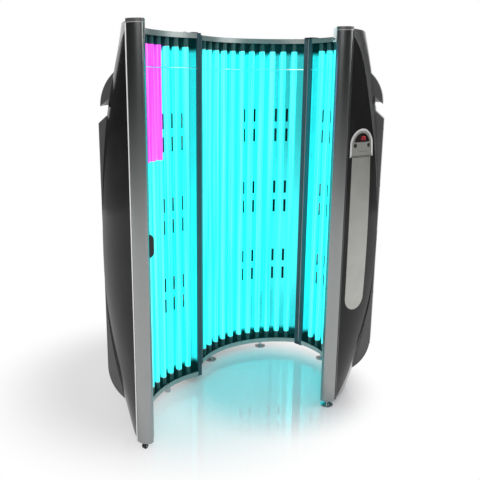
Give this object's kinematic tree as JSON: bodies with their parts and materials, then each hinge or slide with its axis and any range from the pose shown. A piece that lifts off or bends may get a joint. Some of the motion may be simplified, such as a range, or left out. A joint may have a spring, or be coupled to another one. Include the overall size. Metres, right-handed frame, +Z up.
{
  "type": "vertical tanning booth",
  "caption": "Stand-up tanning booth of three curved lamp modules; the left one is a door on pivot pins and a caster.",
  "frame": {"origin": "middle of the booth's outline at floor level, with the door as far open as it stands", "axes": "+Z up, +Y from the entrance to the back module, +X towards the fixed side module"},
  "size_m": [1.8443, 1.1459, 2.2084],
  "materials": {
    "back_silver": "silver powder coat",
    "ballast": "white enamel",
    "black_steel": "black powder coat",
    "board_green": "solder mask",
    "button_black": "moulded",
    "display": "smoked window",
    "end_cap": "moulded, satin",
    "fairing_charcoal": "semi-gloss charcoal paint",
    "fan_black": "moulded",
    "foot_nylon": "moulded nylon",
    "gloss_panel": "piano-gloss charcoal",
    "holder": "moulded",
    "lamp_glass": "phosphor-coated glass",
    "lamp_metal": "drawn caps",
    "panel_steel": "brushed",
    "pillar_silver": "satin silver anodised",
    "post_slate": "slate powder coat",
    "rail_grey": "light grey powder coat",
    "reflector": "bright anodised",
    "rod": "polished",
    "shell_silver": "satin silver paint",
    "sleeve": "translucent film sleeve",
    "steel": "zinc plated",
    "tyre_rubber": "smooth tread"
  },
  "bodies": {
    "root": {"back_bottom_rail": "rail_grey", "back_top_rail": "rail_grey", "back_reflector": "reflector", "back_fan_frame": "fan_black", "side_bottom_rail": "rail_grey", "side_top_rail": "rail_grey", "side_reflector": "reflector", "side_fan_frame": "fan_black", "back_cover": "back_silver", "side_cover": "shell_silver", "side_fairing": "fairing_charcoal", "side_vent_cowl": "fairing_charcoal", "side_pillar": "pillar_silver", "side_pillar_cap": "end_cap", "timer_board": "board_green", "display_window": "display", "control_bezel": "panel_steel", "side_lens": "gloss_panel", "name_plate": "panel_steel", "back_posts": "post_slate", "side_post": "post_slate", "fixed_lamps": "lamp_glass", "fixed_lamp_caps": "lamp_metal", "fixed_lampholders": "holder", "fixed_lamp_rods": "rod", "fixed_ballasts": "ballast", "mains_inlet": "black_steel", "corner_plates": "black_steel", "fixed_hinge_leaves": "black_steel", "hinge_pins": "steel", "levelling_foot_pads": "foot_nylon", "levelling_foot_stems": "steel"},
    "door": {"door_bottom_rail": "rail_grey", "door_top_rail": "rail_grey", "door_reflector": "reflector", "door_fan_frame": "fan_black", "door_cover": "shell_silver", "door_fairing": "fairing_charcoal", "door_vent_cowl": "fairing_charcoal", "door_pillar": "pillar_silver", "door_pillar_cap": "end_cap", "door_lens": "gloss_panel", "door_post": "post_slate", "door_lamps": "lamp_glass", "door_lamp_caps": "lamp_metal", "door_lampholders": "holder", "door_lamp_rod": "rod", "door_ballasts": "ballast", "face_lamp_sleeves": "sleeve", "door_handle": "button_black", "door_hinge_leaves": "black_steel", "door_glide": "foot_nylon"},
    "back_fan": {"back_fan_rotor": "fan_black"},
    "side_fan": {"side_fan_rotor": "fan_black"},
    "door_fan": {"door_fan_rotor": "fan_black"},
    "start_key": {"start_button": "button_black"},
    "stop_key": {"stop_button": "button_black"},
    "caster": {"caster_fork": "black_steel", "caster_axle": "steel"},
    "caster_roller": {"caster_wheel": "tyre_rubber"}
  },
  "joints": [
    {"name": "door_swing", "type": "hinge", "parent": "root", "child": "door", "pos_m": [-0.23234, 0.24499, 1.116], "axis": [0, 0, 1], "range_deg": [-10, 72]},
    {"name": "back_fan_spin", "type": "hinge", "parent": "root", "child": "back_fan", "pos_m": [0.28963, 0.49117, 1.116], "axis": [0, 1, 0], "continuous": true},
    {"name": "side_fan_spin", "type": "hinge", "parent": "root", "child": "side_fan", "pos_m": [0.70888, -0.20908, 1.116], "axis": [0.903, -0.4297, 0], "continuous": true},
    {"name": "door_fan_spin", "type": "hinge", "parent": "door", "child": "door_fan", "pos_m": [-0.63244, 0.00698, 1.116], "axis": [-0.6877, 0.726, 0], "continuous": true},
    {"name": "start_press", "type": "slide", "parent": "root", "child": "start_key", "axis": [-0.0437, 0.9989, -0.0183], "range_m": [0, 0.002], "stiffness_N_per_m": 500},
    {"name": "stop_press", "type": "slide", "parent": "root", "child": "stop_key", "axis": [-0.2217, 0.9735, -0.0557], "range_m": [0, 0.002], "stiffness_N_per_m": 500},
    {"name": "caster_swivel", "type": "hinge", "parent": "door", "child": "caster", "pos_m": [-0.82542, -0.45531, 0.036], "axis": [0, 0, 1], "continuous": true},
    {"name": "caster_roll", "type": "hinge", "parent": "caster", "child": "caster_roller", "pos_m": [-0.83388, -0.45839, 0.01595], "axis": [0.342, -0.9397, 0], "continuous": true}
  ]
}
